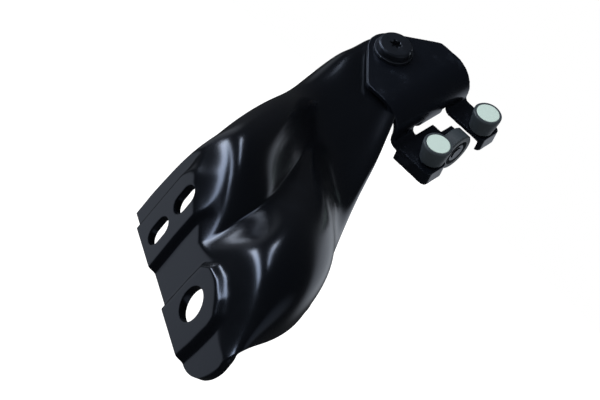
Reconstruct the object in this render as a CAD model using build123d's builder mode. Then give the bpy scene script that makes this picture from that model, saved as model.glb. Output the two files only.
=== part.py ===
from build123d import *
import os

# Sliding door roller guide: a deep-drawn arm that bolts to the door and a folded bracket on a pivot
# pin that runs in the rail on two upright guide rollers and one load roller.
# The frame is set at the door: X along the row of fixings, Z along the slots, Y into the vehicle, and
# the origin midway between the two slots on the face that meets the door.

# Arm pressing
SHEET = 4.0  # thickness of the drawn steel
PAD_RISE = 3.0  # the fixing pads stand this far proud of the flange
SLOT_LENGTH = 16.0
SLOT_WIDTH = 11.0  # clears an M10 screw
SLOT_PITCH = 21.0
HOLE_WIDTH = 17.0
HOLE_X = 58.0  # from the slots to the large hole
HOLE_Z = -5.5
FLANGE_FOOT_Z = -23.0  # lower edge of the flange
FLANGE_END_X = 98.0
FLANGE_CORNER = 20.0
PAD_DRAFT = 35.0  # slope of the pad sides, degrees

# Where the pivot stands, seen from the door
PIVOT_AT = (-152.0, 149.0, 80.0)
PIVOT_LEAN_X = 30.0
PIVOT_LEAN_Y = 15.0
ARM_HEADING = 120.0  # the arm runs up to the pivot from this side
BRACKET_SWING = 120.0  # the bracket as it rests, turned about the pivot pin

# Pivot
PIN_RADIUS = 7.0
BUSH_WALL = 2.0
SLEEVE_WALL = 3.0
BUSH_FLANGE = 1.5
BUSH_FLANGE_RADIUS = 15.0
RUNNING_FIT = 0.05  # radial clearance of a shaft in its bush
END_PLAY = 0.2
PIN_HEAD_RADIUS = 10.8
PIN_HEAD_HEIGHT = 4.5
PIN_WASHER_RADIUS = 12.2
PIN_WASHER_HEIGHT = 2.0
LOBE_CIRCLE = 2.7  # six-lobe drive recess in the pin head
LOBE_RADIUS = 0.95
LOBE_DEPTH = 3.2
PEEN_RADIUS = 9.5
PEEN_HEIGHT = 2.5
COLLAR_RADIUS = 11.5
COLLAR_HEIGHT = 2.0

# Bracket
BRACKET_SHEET = 3.0
BRACKET_TOP = 8.0  # upper face of the top flange; zero is the top of the guide rollers
BRACKET_HALF = 34.5
BRACKET_NOSE = 16.0  # radius of the top flange round the pin
BRACKET_CORNER = 5.0
CORNER_REACH = 8.0  # from the pin to where the sides of the top flange turn in
WEB_REACH = 42.0  # from the pin to the outer face of the web
WEB_BEND = 18.0  # outer radius of the bend under the top flange
FOLD_RADIUS = 3.0  # inner radius of the folds at the foot of the web
EAR_TOP = -14.5
EAR_RIM = 7.0  # depth of the turned-down rim below the ear
EAR_GAP = 16.5  # from the middle of the bracket to the inner edge of an ear
LOWER_HALF = 10.0  # half width of the lower flange at the web
LOWER_NOSE = 15.0
SWING_GAP = 0.8  # between the arm's head and the bracket that swings round it

# Guide rollers
GUIDE_REACH = 64.0  # from the pin to the line of the rollers
EAR_MARGIN = 8.0  # from the line of the rollers to the front of the ears
GUIDE_HALF_PITCH = 23.5
GUIDE_RADIUS = 9.0
GUIDE_FOOT_RADIUS = 7.6
GUIDE_HEIGHT = 13.3
GUIDE_FACE_RADIUS = 7.4
GUIDE_FACE_DEPTH = 1.4
GUIDE_STUD_RADIUS = 3.0
GUIDE_BUSH_WALL = 1.2
GUIDE_CLIP_RADIUS = 4.8
GUIDE_CLIP_SHEET = 1.2
GUIDE_CLIP_TOP = -3.2
STUD_FOOT_RADIUS = 4.8
STUD_FOOT_HEIGHT = 1.6

# Load roller
LOAD_RADIUS = 12.75
LOAD_WIDTH = 9.5
LOAD_DROP = 20.0  # centre of the load roller below the top of the guide rollers
LOAD_LEAD = 3.0  # the front of the load roller stands this far past the line of the guide rollers
LOAD_TYRE = 2.6
LOAD_RIM = 1.3
LOAD_WEB = 2.4
LOAD_STUD_RADIUS = 4.0
LOAD_BUSH_WALL = 1.5
LOAD_SPOKES = 6
LOAD_CLIP_RADIUS = 6.0
LOAD_CLIP_SHEET = 1.5
TAB_GAP = 2.5  # between the load roller and the tab that carries it
TAB_HALF = 9.5

os.makedirs("parts", exist_ok=True)

ARM = Plane(Location(PIVOT_AT, (PIVOT_LEAN_X, PIVOT_LEAN_Y, ARM_HEADING)))
RAIL = Plane(Location(PIVOT_AT, (PIVOT_LEAN_X, PIVOT_LEAN_Y, BRACKET_SWING)))
HEAD_TOP = BRACKET_TOP - BRACKET_SHEET - END_PLAY / 2 - BUSH_FLANGE
SLEEVE_FOOT = EAR_TOP + END_PLAY / 2 + BUSH_FLANGE
BUSH_BORE = PIN_RADIUS + RUNNING_FIT
BUSH_RADIUS = BUSH_BORE + BUSH_WALL
SLEEVE_RADIUS = BUSH_RADIUS + SLEEVE_WALL
EAR_FOOT = EAR_TOP - BRACKET_SHEET
WEB_FOOT = BRACKET_TOP - WEB_BEND
WEB_INNER = WEB_REACH - BRACKET_SHEET
BEND_REACH = WEB_REACH - WEB_BEND
FOLD_HEIGHT = EAR_TOP + FOLD_RADIUS
OUTER_FOLD = FOLD_RADIUS + BRACKET_SHEET
EAR_REACH = GUIDE_REACH + EAR_MARGIN
RIM_START = WEB_REACH + OUTER_FOLD + 2.0  # the rim along the outer side begins here
LOAD_FRONT = GUIDE_REACH + LOAD_LEAD
TAB_FRONT = LOAD_FRONT - LOAD_WIDTH - TAB_GAP


def door_plane(depth):
    """The section plane this far into the vehicle from the door, X to the right and Z up."""
    return Plane.XZ.offset(-depth)


def rail_side(along):
    """The plane across the rail this far along it, its x away from the rollers and its y up the pin."""
    at = RAIL.from_local_coords((along, 0, 0))
    return Plane(origin=at, x_dir=RAIL.y_dir, z_dir=RAIL.x_dir)


def rail_front(along, reach, height):
    """The plane that faces out over the rollers, x along the rail and y up the pin."""
    at = RAIL.from_local_coords((along, -reach, height))
    return Plane(origin=at, x_dir=RAIL.x_dir, z_dir=-RAIL.y_dir)


def rail_upright(along, reach):
    """The line parallel to the pin through one place on the bracket."""
    return Axis(RAIL.from_local_coords((along, -reach, 0)), RAIL.z_dir)


# The arm is one deep-drawn pressing. Its skin leaves the flange over a tight bend, carries two bulges
# with a valley between them, and flattens into the round head at the pivot. Each station is a section
# parallel to the door: how deep it lies, how thick skin, back wall and side wall stand in it, then
# the back edge, the back shoulder, ridge, valley and ridge, the side shoulder and the side edge.
BULGES = (
    (3.5, 6.0, 6.4, 6.4, ((-26, -8), (-19, 27), (0, 24), (32, 11), (60, 15), (80, 5), (86, -10))),
    (6.0, 9.0, 6.4, 6.4, ((-31, -6), (-24, 34), (-3, 35), (30, 16), (61, 26), (85, 13), (90, -6))),
    (12.0, 6.0, 6.4, 6.4, ((-39, -2), (-29, 41), (-9, 45), (25, 23), (57, 36), (87, 20), (91, 1))),
    (25.0, 4.0, 6.4, 6.4, ((-56, 4), (-47, 41), (-24, 50), (13, 32), (47, 43), (79, 30), (84, 6))),
    (45.0, 4.0, 6.4, 6.4, ((-82, 8), (-72, 43), (-46, 53), (-11, 34), (26, 45), (60, 35), (67, 9))),
    (70.0, 4.0, 6.4, 6.4, ((-110, 14), (-102, 43), (-79, 52), (-47, 39), (-8, 42), (27, 30), (38, 3))),
    (98.0, 4.3, 5.0, 6.4, ((-140, 30), (-133, 46), (-115, 50), (-86, 41), (-50, 33), (-14, 20), (0, -2))),
)
HEAD_SHARES = (0.05, 0.27, 0.5, 0.73, 0.95)  # how its inner points spread from edge to edge
# The head is flat and square to the pin. Its stations run from a point on its back edge to a point on
# its front edge, both as the pin sees them, and drop by the depth of the turned-down edge.
HEAD = (
    (120.0, (-20, 19.5), (-92, -69), 8.0, 17.0, 6.4),
    (130.0, (-9, 20), (-72, -58), 5.5, 15.0, 6.4),
    (140.0, (5.5, 20), (-47, -45), 5.0, 13.0, 5.0),
    (150.0, (15.5, 14), (-23, -32), 5.0, 6.0, 2.0),
    (158.0, (20, 4.5), (-4, -25), 5.0, 5.0, 1.5),
    (164.5, (19.8, -7), (9.5, -18.7), 5.0, 5.0, 1.5),
)


def head_station(depth, back, front, back_drop, front_drop, side_wall):
    """Lays one flat section of the head between its back edge and its front edge."""
    start = ARM.from_local_coords((*back, HEAD_TOP))
    end = ARM.from_local_coords((*front, HEAD_TOP))
    across = [start + (end - start) * share for share in HEAD_SHARES]
    points = [(start.X, start.Z - back_drop)] + [(p.X, p.Z) for p in across] + [(end.X, end.Z - front_drop)]
    return (depth, SHEET / ARM.z_dir.Z, 1.5, side_wall, points)


def station_face(depth, skin, back_wall, side_wall, points):
    """Draws one section through the skin of the pressing, open below."""
    gaps = (back_wall, back_wall, 0, 0, 0, -side_wall, -side_wall)
    drops = (0, skin, skin, skin, skin, skin, 0)
    with BuildSketch(door_plane(depth)) as section:
        with BuildLine():
            outer = Spline(*points)
            inner = Spline(*[(x + gap, z - drop) for (x, z), gap, drop in zip(points, gaps, drops)])
            Line(outer @ 0, inner @ 0)
            Line(outer @ 1, inner @ 1)
        make_face()
    return section.sketch.face()


# The flange that meets the door and closes the front of the bulges, with two raised pads pressed out of it
with BuildPart() as door_flange:
    with BuildSketch(door_plane(PAD_RISE)):
        with BuildLine():
            Polyline((-30, 4), (-30, FLANGE_FOOT_Z), (FLANGE_END_X, FLANGE_FOOT_Z), (FLANGE_END_X, 1),
                     (86, 0), (80, 4), (60, 13), (32, 9), (0, 22), (-19, 26), (-22, 30), (-30, 4))
        make_face()
        fillet(vertices().sort_by_distance((FLANGE_END_X, FLANGE_FOOT_Z))[0], FLANGE_CORNER)
        fillet(vertices().sort_by_distance((-30, FLANGE_FOOT_Z))[0], 3)
    extrude(amount=-SHEET)
    with BuildSketch(door_plane(PAD_RISE)):
        with BuildLine():
            Polyline((-18, FLANGE_FOOT_Z), (-18, 22), (-8, 27), (2, 22), (18, 14), (18, FLANGE_FOOT_Z),
                     (-18, FLANGE_FOOT_Z))
        make_face()
    extrude(amount=PAD_RISE, taper=PAD_DRAFT)
    with BuildSketch(door_plane(PAD_RISE)):
        with BuildLine():
            Polyline((41, FLANGE_FOOT_Z), (41, 6), (50, 12), (68, 12), (81, 2), (81, FLANGE_FOOT_Z),
                     (41, FLANGE_FOOT_Z))
        make_face()
    extrude(amount=PAD_RISE, taper=PAD_DRAFT)

with BuildPart() as arm_pressing:
    sections = [station_face(*station) for station in BULGES]
    sections += [station_face(*head_station(*station)) for station in HEAD]
    loft(sections=sections)
    add(door_flange.part)
    # the pads are hollow behind
    with BuildSketch(door_plane(PAD_RISE + SHEET)):
        with Locations((0, FLANGE_FOOT_Z / 2 + 4)):
            Rectangle(25, 20 - FLANGE_FOOT_Z)
        with Locations((61, FLANGE_FOOT_Z / 2)):
            Rectangle(28, 8 - FLANGE_FOOT_Z)
    extrude(amount=PAD_RISE, mode=Mode.SUBTRACT)
    with BuildSketch(door_plane(0)):
        with GridLocations(0, SLOT_PITCH, 1, 2):
            SlotOverall(SLOT_LENGTH, SLOT_WIDTH, rotation=90)
        with Locations((HOLE_X, HOLE_Z)):
            Circle(HOLE_WIDTH / 2)
    extrude(amount=-PAD_RISE - 2 * SHEET, mode=Mode.SUBTRACT)
    # the head is struck flat under the bracket, and its front edge set back to clear the web
    with BuildSketch(ARM.offset(HEAD_TOP)):
        Circle(WEB_REACH)
    extrude(amount=SHEET, mode=Mode.SUBTRACT)
    with BuildSketch(rail_side(-BRACKET_HALF - SWING_GAP)):
        with BuildLine():
            CenterArc((-BEND_REACH, WEB_FOOT), WEB_BEND - BRACKET_SHEET - SWING_GAP, 90, 90)
            Polyline((-WEB_INNER + SWING_GAP, WEB_FOOT), (-WEB_INNER + SWING_GAP, EAR_TOP),
                     (-EAR_REACH, EAR_TOP), (-EAR_REACH, BRACKET_TOP), (-BEND_REACH, BRACKET_TOP),
                     (-BEND_REACH, BRACKET_TOP - BRACKET_SHEET - SWING_GAP))
        make_face()
    extrude(amount=2 * BRACKET_HALF, mode=Mode.SUBTRACT)
    with BuildSketch(ARM.offset(HEAD_TOP + 1)):
        Circle(SLEEVE_RADIUS)
    extrude(amount=-2 * SHEET, mode=Mode.SUBTRACT)
arm_pressing.part.label = "arm_pressing"
export_step(arm_pressing.part, "parts/arm_pressing.step")

# Pivot: a sleeve let into the head carries a flanged bush at each end
with BuildPart() as pivot_sleeve:
    with BuildSketch(ARM.offset(SLEEVE_FOOT)):
        Circle(SLEEVE_RADIUS)
        Circle(BUSH_RADIUS, mode=Mode.SUBTRACT)
    extrude(amount=HEAD_TOP - SLEEVE_FOOT)
pivot_sleeve.part.label = "pivot_sleeve"
export_step(pivot_sleeve.part, "parts/pivot_sleeve.step")

BUSH_LENGTH = (HEAD_TOP - SLEEVE_FOOT) / 2 - 1

with BuildPart() as pivot_bush_upper:
    with BuildSketch(ARM.offset(HEAD_TOP)):
        Circle(BUSH_FLANGE_RADIUS)
    extrude(amount=BUSH_FLANGE)
    with BuildSketch(ARM.offset(HEAD_TOP)):
        Circle(BUSH_RADIUS)
    extrude(amount=-BUSH_LENGTH)
    with BuildSketch(ARM.offset(HEAD_TOP + BUSH_FLANGE)):
        Circle(BUSH_BORE)
    extrude(amount=-BUSH_LENGTH - BUSH_FLANGE, mode=Mode.SUBTRACT)
pivot_bush_upper.part.label = "pivot_bush_upper"
export_step(pivot_bush_upper.part, "parts/pivot_bush_upper.step")

with BuildPart() as pivot_bush_lower:
    with BuildSketch(ARM.offset(SLEEVE_FOOT)):
        Circle(BUSH_FLANGE_RADIUS)
    extrude(amount=-BUSH_FLANGE)
    with BuildSketch(ARM.offset(SLEEVE_FOOT)):
        Circle(BUSH_RADIUS)
    extrude(amount=BUSH_LENGTH)
    with BuildSketch(ARM.offset(SLEEVE_FOOT - BUSH_FLANGE)):
        Circle(BUSH_BORE)
    extrude(amount=BUSH_LENGTH + BUSH_FLANGE, mode=Mode.SUBTRACT)
pivot_bush_lower.part.label = "pivot_bush_lower"
export_step(pivot_bush_lower.part, "parts/pivot_bush_lower.step")

# Bracket: one folded sheet. The top flange bends down into the web; the lower flange folds in under
# the arm and an ear folds out at each side, its outer and front edges turned down.
def ear(side, gap):
    """Draws one ear, folded out from the foot of the web, with its rim turned down."""
    width = BRACKET_HALF - gap
    middle = side * (BRACKET_HALF + gap) / 2
    with BuildPart() as blank:
        with BuildSketch(rail_side(min(side * gap, side * BRACKET_HALF))):
            with BuildLine():
                Line((-WEB_INNER, WEB_FOOT), (-WEB_REACH, WEB_FOOT))
                Line((-WEB_REACH, WEB_FOOT), (-WEB_REACH, FOLD_HEIGHT))
                CenterArc((-WEB_REACH - FOLD_RADIUS, FOLD_HEIGHT), FOLD_RADIUS, -90, 90)
                Line((-WEB_REACH - FOLD_RADIUS, EAR_TOP), (-EAR_REACH, EAR_TOP))
                Line((-EAR_REACH, EAR_TOP), (-EAR_REACH, EAR_FOOT - EAR_RIM))
                Line((-EAR_REACH, EAR_FOOT - EAR_RIM), (-EAR_REACH + BRACKET_SHEET, EAR_FOOT - EAR_RIM))
                Line((-EAR_REACH + BRACKET_SHEET, EAR_FOOT - EAR_RIM), (-EAR_REACH + BRACKET_SHEET, EAR_FOOT))
                Line((-EAR_REACH + BRACKET_SHEET, EAR_FOOT), (-WEB_REACH - FOLD_RADIUS, EAR_FOOT))
                CenterArc((-WEB_REACH - FOLD_RADIUS, FOLD_HEIGHT), OUTER_FOLD, -90, 90)
                Line((-WEB_INNER, FOLD_HEIGHT), (-WEB_INNER, WEB_FOOT))
            make_face()
        extrude(amount=width)
        # the rim along the outer side
        with BuildSketch(RAIL.offset(EAR_FOOT)):
            with Locations((side * (BRACKET_HALF - BRACKET_SHEET / 2), -(EAR_REACH + RIM_START) / 2)):
                Rectangle(BRACKET_SHEET, EAR_REACH - RIM_START)
        extrude(amount=-EAR_RIM)
        # the rounded outline seen from above
        with BuildSketch(RAIL.offset(EAR_FOOT - EAR_RIM)):
            with Locations((middle, -(EAR_REACH + WEB_INNER) / 2)):
                RectangleRounded(width, EAR_REACH - WEB_INNER, 3.5)
            with Locations((middle, -WEB_INNER - 8)):
                Rectangle(width, 16)
        extrude(amount=40, mode=Mode.INTERSECT)
    return blank.part


with BuildPart() as carriage_bracket:
    with BuildSketch(rail_side(-BRACKET_HALF)):
        with BuildLine():
            Line((BRACKET_NOSE + 5, BRACKET_TOP), (-BEND_REACH, BRACKET_TOP))
            CenterArc((-BEND_REACH, WEB_FOOT), WEB_BEND, 90, 90)
            Line((-WEB_REACH, WEB_FOOT), (-WEB_INNER, WEB_FOOT))
            CenterArc((-BEND_REACH, WEB_FOOT), WEB_BEND - BRACKET_SHEET, 90, 90)
            Line((-BEND_REACH, BRACKET_TOP - BRACKET_SHEET), (BRACKET_NOSE + 5, BRACKET_TOP - BRACKET_SHEET))
            Line((BRACKET_NOSE + 5, BRACKET_TOP - BRACKET_SHEET), (BRACKET_NOSE + 5, BRACKET_TOP))
        make_face()
    extrude(amount=2 * BRACKET_HALF)
    # the outline of the top flange: square at the web, then in to a round nose at the pin
    with BuildSketch(RAIL.offset(WEB_FOOT)):
        with BuildLine():
            CenterArc((0, 0), BRACKET_NOSE, 0, 360)
            for side in (-1, 1):
                CenterArc((side * (BRACKET_HALF - BRACKET_CORNER), -CORNER_REACH - BRACKET_CORNER),
                          BRACKET_CORNER, 0, 360)
            Line((-BRACKET_HALF, -WEB_REACH), (BRACKET_HALF, -WEB_REACH))
        make_hull()
    extrude(amount=40, mode=Mode.INTERSECT)
    # the lower flange
    with BuildSketch(rail_side(-LOWER_HALF)):
        with BuildLine():
            Line((-WEB_REACH, WEB_FOOT), (-WEB_REACH, FOLD_HEIGHT))
            CenterArc((-WEB_REACH + OUTER_FOLD, FOLD_HEIGHT), OUTER_FOLD, 180, 90)
            Line((-WEB_REACH + OUTER_FOLD, EAR_FOOT), (-20, EAR_FOOT))
            Line((-20, EAR_FOOT), (-20, EAR_TOP))
            Line((-20, EAR_TOP), (-WEB_REACH + OUTER_FOLD, EAR_TOP))
            CenterArc((-WEB_REACH + OUTER_FOLD, FOLD_HEIGHT), FOLD_RADIUS, 180, 90)
            Line((-WEB_INNER, FOLD_HEIGHT), (-WEB_INNER, WEB_FOOT))
            Line((-WEB_INNER, WEB_FOOT), (-WEB_REACH, WEB_FOOT))
        make_face()
    extrude(amount=2 * LOWER_HALF)
    with BuildSketch(RAIL.offset(EAR_FOOT)):
        with BuildLine():
            CenterArc((0, 0), LOWER_NOSE, 0, 360)
            Line((-LOWER_HALF, -30), (LOWER_HALF, -30))
        make_hull()
    extrude(amount=BRACKET_SHEET)
    add(ear(1, EAR_GAP))
    add(ear(-1, EAR_GAP))
    # the tab below the near ear that carries the load roller
    with BuildSketch(RAIL.offset(EAR_FOOT)):
        with Locations((-EAR_GAP + 7, -(TAB_FRONT + WEB_REACH + 3) / 2)):
            Rectangle(18, TAB_FRONT - WEB_REACH - 3)
    extrude(amount=BRACKET_SHEET)
    with BuildSketch(rail_front(0, TAB_FRONT, EAR_TOP)):
        with Locations((-EAR_GAP / 2 + 0.5, -6)):
            Rectangle(EAR_GAP - 2, 12)
        with BuildLine():
            CenterArc((0, -LOAD_DROP - EAR_TOP), TAB_HALF, 180, 180)
            Line((-TAB_HALF, -LOAD_DROP - EAR_TOP), (-TAB_HALF, 0))
            Line((-TAB_HALF, 0), (TAB_HALF, 0))
            Line((TAB_HALF, 0), (TAB_HALF, -LOAD_DROP - EAR_TOP))
        make_face()
    extrude(amount=-BRACKET_SHEET)
    # holes for the pin, the studs and the axle
    with BuildSketch(RAIL.offset(-30)):
        Circle(PIN_RADIUS)
        with Locations((-GUIDE_HALF_PITCH, -GUIDE_REACH), (GUIDE_HALF_PITCH, -GUIDE_REACH)):
            Circle(GUIDE_STUD_RADIUS)
    extrude(amount=50, mode=Mode.SUBTRACT)
    with BuildSketch(rail_front(0, TAB_FRONT, -LOAD_DROP)):
        Circle(LOAD_STUD_RADIUS)
    extrude(amount=-10, mode=Mode.SUBTRACT)
carriage_bracket.part.label = "carriage_bracket"
export_step(carriage_bracket.part, "parts/carriage_bracket.step")

# Pivot pin with its six-lobe head, peened over below the lower flange
PIN_SEAT = BRACKET_TOP + PIN_WASHER_HEIGHT
PIN_FOOT = EAR_FOOT - COLLAR_HEIGHT

with BuildPart() as pivot_pin:
    with BuildSketch(rail_front(0, 0, 0)):
        with BuildLine():
            Polyline((0, PIN_FOOT - PEEN_HEIGHT), (PEEN_RADIUS - 2.5, PIN_FOOT - PEEN_HEIGHT),
                     (PEEN_RADIUS, PIN_FOOT), (PIN_RADIUS, PIN_FOOT), (PIN_RADIUS, PIN_SEAT),
                     (PIN_HEAD_RADIUS, PIN_SEAT), (PIN_HEAD_RADIUS, PIN_SEAT + PIN_HEAD_HEIGHT - 1),
                     (PIN_HEAD_RADIUS - 1, PIN_SEAT + PIN_HEAD_HEIGHT), (0, PIN_SEAT + PIN_HEAD_HEIGHT),
                     (0, PIN_FOOT - PEEN_HEIGHT))
        make_face()
    revolve(axis=rail_upright(0, 0))
    with BuildSketch(RAIL.offset(PIN_SEAT + PIN_HEAD_HEIGHT)):
        Circle(LOBE_CIRCLE)
        with PolarLocations(LOBE_CIRCLE, 6):
            Circle(LOBE_RADIUS)
    extrude(amount=-LOBE_DEPTH, mode=Mode.SUBTRACT)
pivot_pin.part.label = "pivot_pin"
export_step(pivot_pin.part, "parts/pivot_pin.step")


def washer(foot, height, radius, bore):
    """Draws a flat washer round the pivot pin."""
    with BuildPart() as ring:
        with BuildSketch(RAIL.offset(foot)):
            Circle(radius)
            Circle(bore, mode=Mode.SUBTRACT)
        extrude(amount=height)
    return ring.part


pin_washer = washer(BRACKET_TOP, PIN_WASHER_HEIGHT, PIN_WASHER_RADIUS, PIN_RADIUS)
pin_washer.label = "pin_washer"
export_step(pin_washer, "parts/pin_washer.step")
pin_collar = washer(PIN_FOOT, COLLAR_HEIGHT, COLLAR_RADIUS, PIN_RADIUS)
pin_collar.label = "pin_collar"
export_step(pin_collar, "parts/pin_collar.step")

# Guide rollers: a stud peened into each ear, a sintered bush, a moulded tyre and a pale end face
BUSH_TOP = GUIDE_CLIP_TOP - GUIDE_CLIP_SHEET - 0.15
GUIDE_BUSH_RADIUS = GUIDE_STUD_RADIUS + RUNNING_FIT + GUIDE_BUSH_WALL
GUIDE_CAVITY = GUIDE_CLIP_RADIUS + 0.6


def turned(along, profile):
    """Turns a closed half profile about the axis of one guide roller."""
    with BuildPart() as piece:
        with BuildSketch(rail_front(along, GUIDE_REACH, 0)):
            with BuildLine():
                Polyline(*profile, profile[0])
            make_face()
        revolve(axis=rail_upright(along, GUIDE_REACH))
    return piece.part


for name, side in (("near", -1), ("far", 1)):
    along = side * GUIDE_HALF_PITCH
    stud = turned(along, (
        (0, EAR_FOOT - STUD_FOOT_HEIGHT), (STUD_FOOT_RADIUS - 1, EAR_FOOT - STUD_FOOT_HEIGHT),
        (STUD_FOOT_RADIUS, EAR_FOOT), (GUIDE_STUD_RADIUS, EAR_FOOT), (GUIDE_STUD_RADIUS, EAR_TOP),
        (GUIDE_FOOT_RADIUS - 1, EAR_TOP), (GUIDE_FOOT_RADIUS - 1, -GUIDE_HEIGHT - 0.2),
        (GUIDE_STUD_RADIUS, -GUIDE_HEIGHT - 0.2), (GUIDE_STUD_RADIUS, GUIDE_CLIP_TOP + 0.6),
        (0, GUIDE_CLIP_TOP + 0.6)))
    stud.label = f"guide_stud_{name}"
    export_step(stud, f"parts/{stud.label}.step")
    clip = turned(along, (
        (GUIDE_STUD_RADIUS, GUIDE_CLIP_TOP - GUIDE_CLIP_SHEET), (GUIDE_CLIP_RADIUS, GUIDE_CLIP_TOP - GUIDE_CLIP_SHEET),
        (GUIDE_CLIP_RADIUS, GUIDE_CLIP_TOP), (GUIDE_STUD_RADIUS, GUIDE_CLIP_TOP)))
    clip.label = f"guide_clip_{name}"
    export_step(clip, f"parts/{clip.label}.step")
    bush = turned(along, (
        (GUIDE_STUD_RADIUS + RUNNING_FIT, -GUIDE_HEIGHT), (GUIDE_BUSH_RADIUS, -GUIDE_HEIGHT),
        (GUIDE_BUSH_RADIUS, BUSH_TOP), (GUIDE_STUD_RADIUS + RUNNING_FIT, BUSH_TOP)))
    bush.label = f"guide_bush_{name}"
    export_step(bush, f"parts/{bush.label}.step")
    tyre = turned(along, (
        (GUIDE_BUSH_RADIUS, -GUIDE_HEIGHT), (GUIDE_FOOT_RADIUS - 0.5, -GUIDE_HEIGHT),
        (GUIDE_FOOT_RADIUS, -GUIDE_HEIGHT + 0.5), (GUIDE_RADIUS - 0.3, -5), (GUIDE_RADIUS, -2.5),
        (GUIDE_RADIUS, -0.7), (GUIDE_RADIUS - 0.6, 0), (GUIDE_FACE_RADIUS, 0),
        (GUIDE_FACE_RADIUS, -GUIDE_FACE_DEPTH), (GUIDE_CAVITY, -GUIDE_FACE_DEPTH), (GUIDE_CAVITY, BUSH_TOP),
        (GUIDE_BUSH_RADIUS, BUSH_TOP)))
    tyre.label = f"guide_tyre_{name}"
    export_step(tyre, f"parts/{tyre.label}.step")
    face = turned(along, (
        (0, -GUIDE_FACE_DEPTH), (GUIDE_FACE_RADIUS, -GUIDE_FACE_DEPTH), (GUIDE_FACE_RADIUS, -0.3),
        (GUIDE_FACE_RADIUS - 0.4, 0), (0, 0)))
    face.label = f"guide_face_{name}"
    export_step(face, f"parts/{face.label}.step")

# Load roller: a stud peened into the tab carries a sintered bush, a spoked hub and a tyre
LOAD_BUSH_RADIUS = LOAD_STUD_RADIUS + RUNNING_FIT + LOAD_BUSH_WALL
LOAD_HUB_RADIUS = LOAD_RADIUS - LOAD_TYRE
LOAD_BOSS = LOAD_BUSH_RADIUS + 1.6
LOAD_BACK = LOAD_FRONT - LOAD_WIDTH


def load_disc(reach, length, radius, bore):
    """Draws a disc or ring on the load roller axle, from this reach back towards the web."""
    with BuildPart() as disc:
        with BuildSketch(rail_front(0, reach, -LOAD_DROP)):
            Circle(radius)
            if bore:
                Circle(bore, mode=Mode.SUBTRACT)
        extrude(amount=-length)
    return disc.part


with BuildPart() as load_axle:
    add(load_disc(LOAD_FRONT + 0.4, LOAD_FRONT + 0.4 - TAB_FRONT + BRACKET_SHEET, LOAD_STUD_RADIUS, 0))
    add(load_disc(LOAD_BACK - 0.2, LOAD_BACK - 0.2 - TAB_FRONT, LOAD_BUSH_RADIUS, 0))
    add(load_disc(TAB_FRONT - BRACKET_SHEET, 1.0, LOAD_STUD_RADIUS - 0.4, 0))
load_axle.part.label = "load_axle"
export_step(load_axle.part, "parts/load_axle.step")

load_clip = load_disc(LOAD_FRONT - 0.2, LOAD_CLIP_SHEET, LOAD_CLIP_RADIUS, LOAD_STUD_RADIUS)
load_clip.label = "load_clip"
export_step(load_clip, "parts/load_clip.step")

BUSH_FRONT = LOAD_FRONT - 0.2 - LOAD_CLIP_SHEET - 0.2
load_bush = load_disc(BUSH_FRONT, BUSH_FRONT - LOAD_BACK, LOAD_BUSH_RADIUS, LOAD_STUD_RADIUS + RUNNING_FIT)
load_bush.label = "load_bush"
export_step(load_bush, "parts/load_bush.step")

with BuildPart() as load_hub:
    add(load_disc(LOAD_FRONT, LOAD_WIDTH, LOAD_HUB_RADIUS, LOAD_HUB_RADIUS - LOAD_RIM))
    add(load_disc(BUSH_FRONT, BUSH_FRONT - LOAD_BACK, LOAD_BOSS, LOAD_BUSH_RADIUS))
    add(load_disc(LOAD_FRONT - LOAD_WIDTH / 2, LOAD_WEB, LOAD_HUB_RADIUS - LOAD_RIM / 2, LOAD_BOSS - 0.5))
    # spokes stiffen the web on the open side
    with BuildSketch(rail_front(0, LOAD_FRONT - 1.5, -LOAD_DROP)):
        with PolarLocations((LOAD_BOSS + LOAD_HUB_RADIUS - LOAD_RIM) / 2, LOAD_SPOKES):
            Rectangle(LOAD_HUB_RADIUS - LOAD_RIM / 2 - LOAD_BOSS + 0.5, 1.4)
    extrude(amount=-(LOAD_WIDTH / 2 - 1))
load_hub.part.label = "load_hub"
export_step(load_hub.part, "parts/load_hub.step")

with BuildPart() as load_tyre:
    with BuildSketch(rail_front(0, LOAD_FRONT, -LOAD_DROP)):
        Circle(LOAD_RADIUS)
        Circle(LOAD_HUB_RADIUS, mode=Mode.SUBTRACT)
    extrude(amount=-LOAD_WIDTH)
    chamfer(load_tyre.edges().filter_by(GeomType.CIRCLE).group_by(SortBy.RADIUS)[-1], 0.8)
load_tyre.part.label = "load_tyre"
export_step(load_tyre.part, "parts/load_tyre.step")
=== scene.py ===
import logging
import math
from dataclasses import dataclass, field
from enum import Enum

import bmesh
import bpy
import numpy as np
from mathutils import Matrix, Vector


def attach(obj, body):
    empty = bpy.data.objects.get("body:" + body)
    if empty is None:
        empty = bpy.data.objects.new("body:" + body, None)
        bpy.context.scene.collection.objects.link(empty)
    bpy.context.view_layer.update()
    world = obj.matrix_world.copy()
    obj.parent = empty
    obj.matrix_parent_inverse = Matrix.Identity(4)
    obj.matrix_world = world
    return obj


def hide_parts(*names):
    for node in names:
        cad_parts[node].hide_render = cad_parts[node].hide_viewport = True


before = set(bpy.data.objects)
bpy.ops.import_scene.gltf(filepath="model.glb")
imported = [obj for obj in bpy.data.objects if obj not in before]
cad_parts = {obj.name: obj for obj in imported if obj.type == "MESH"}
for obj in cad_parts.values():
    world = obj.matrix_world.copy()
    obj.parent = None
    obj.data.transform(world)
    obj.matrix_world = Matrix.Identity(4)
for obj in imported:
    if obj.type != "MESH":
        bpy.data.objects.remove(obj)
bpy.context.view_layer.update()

LOG = logging.getLogger("roller_guide")
MM = 0.001


def mm(*values: float) -> Vector:
    """Turns millimetres in the row frame into a vector in metres."""
    return Vector(values) * MM


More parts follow.
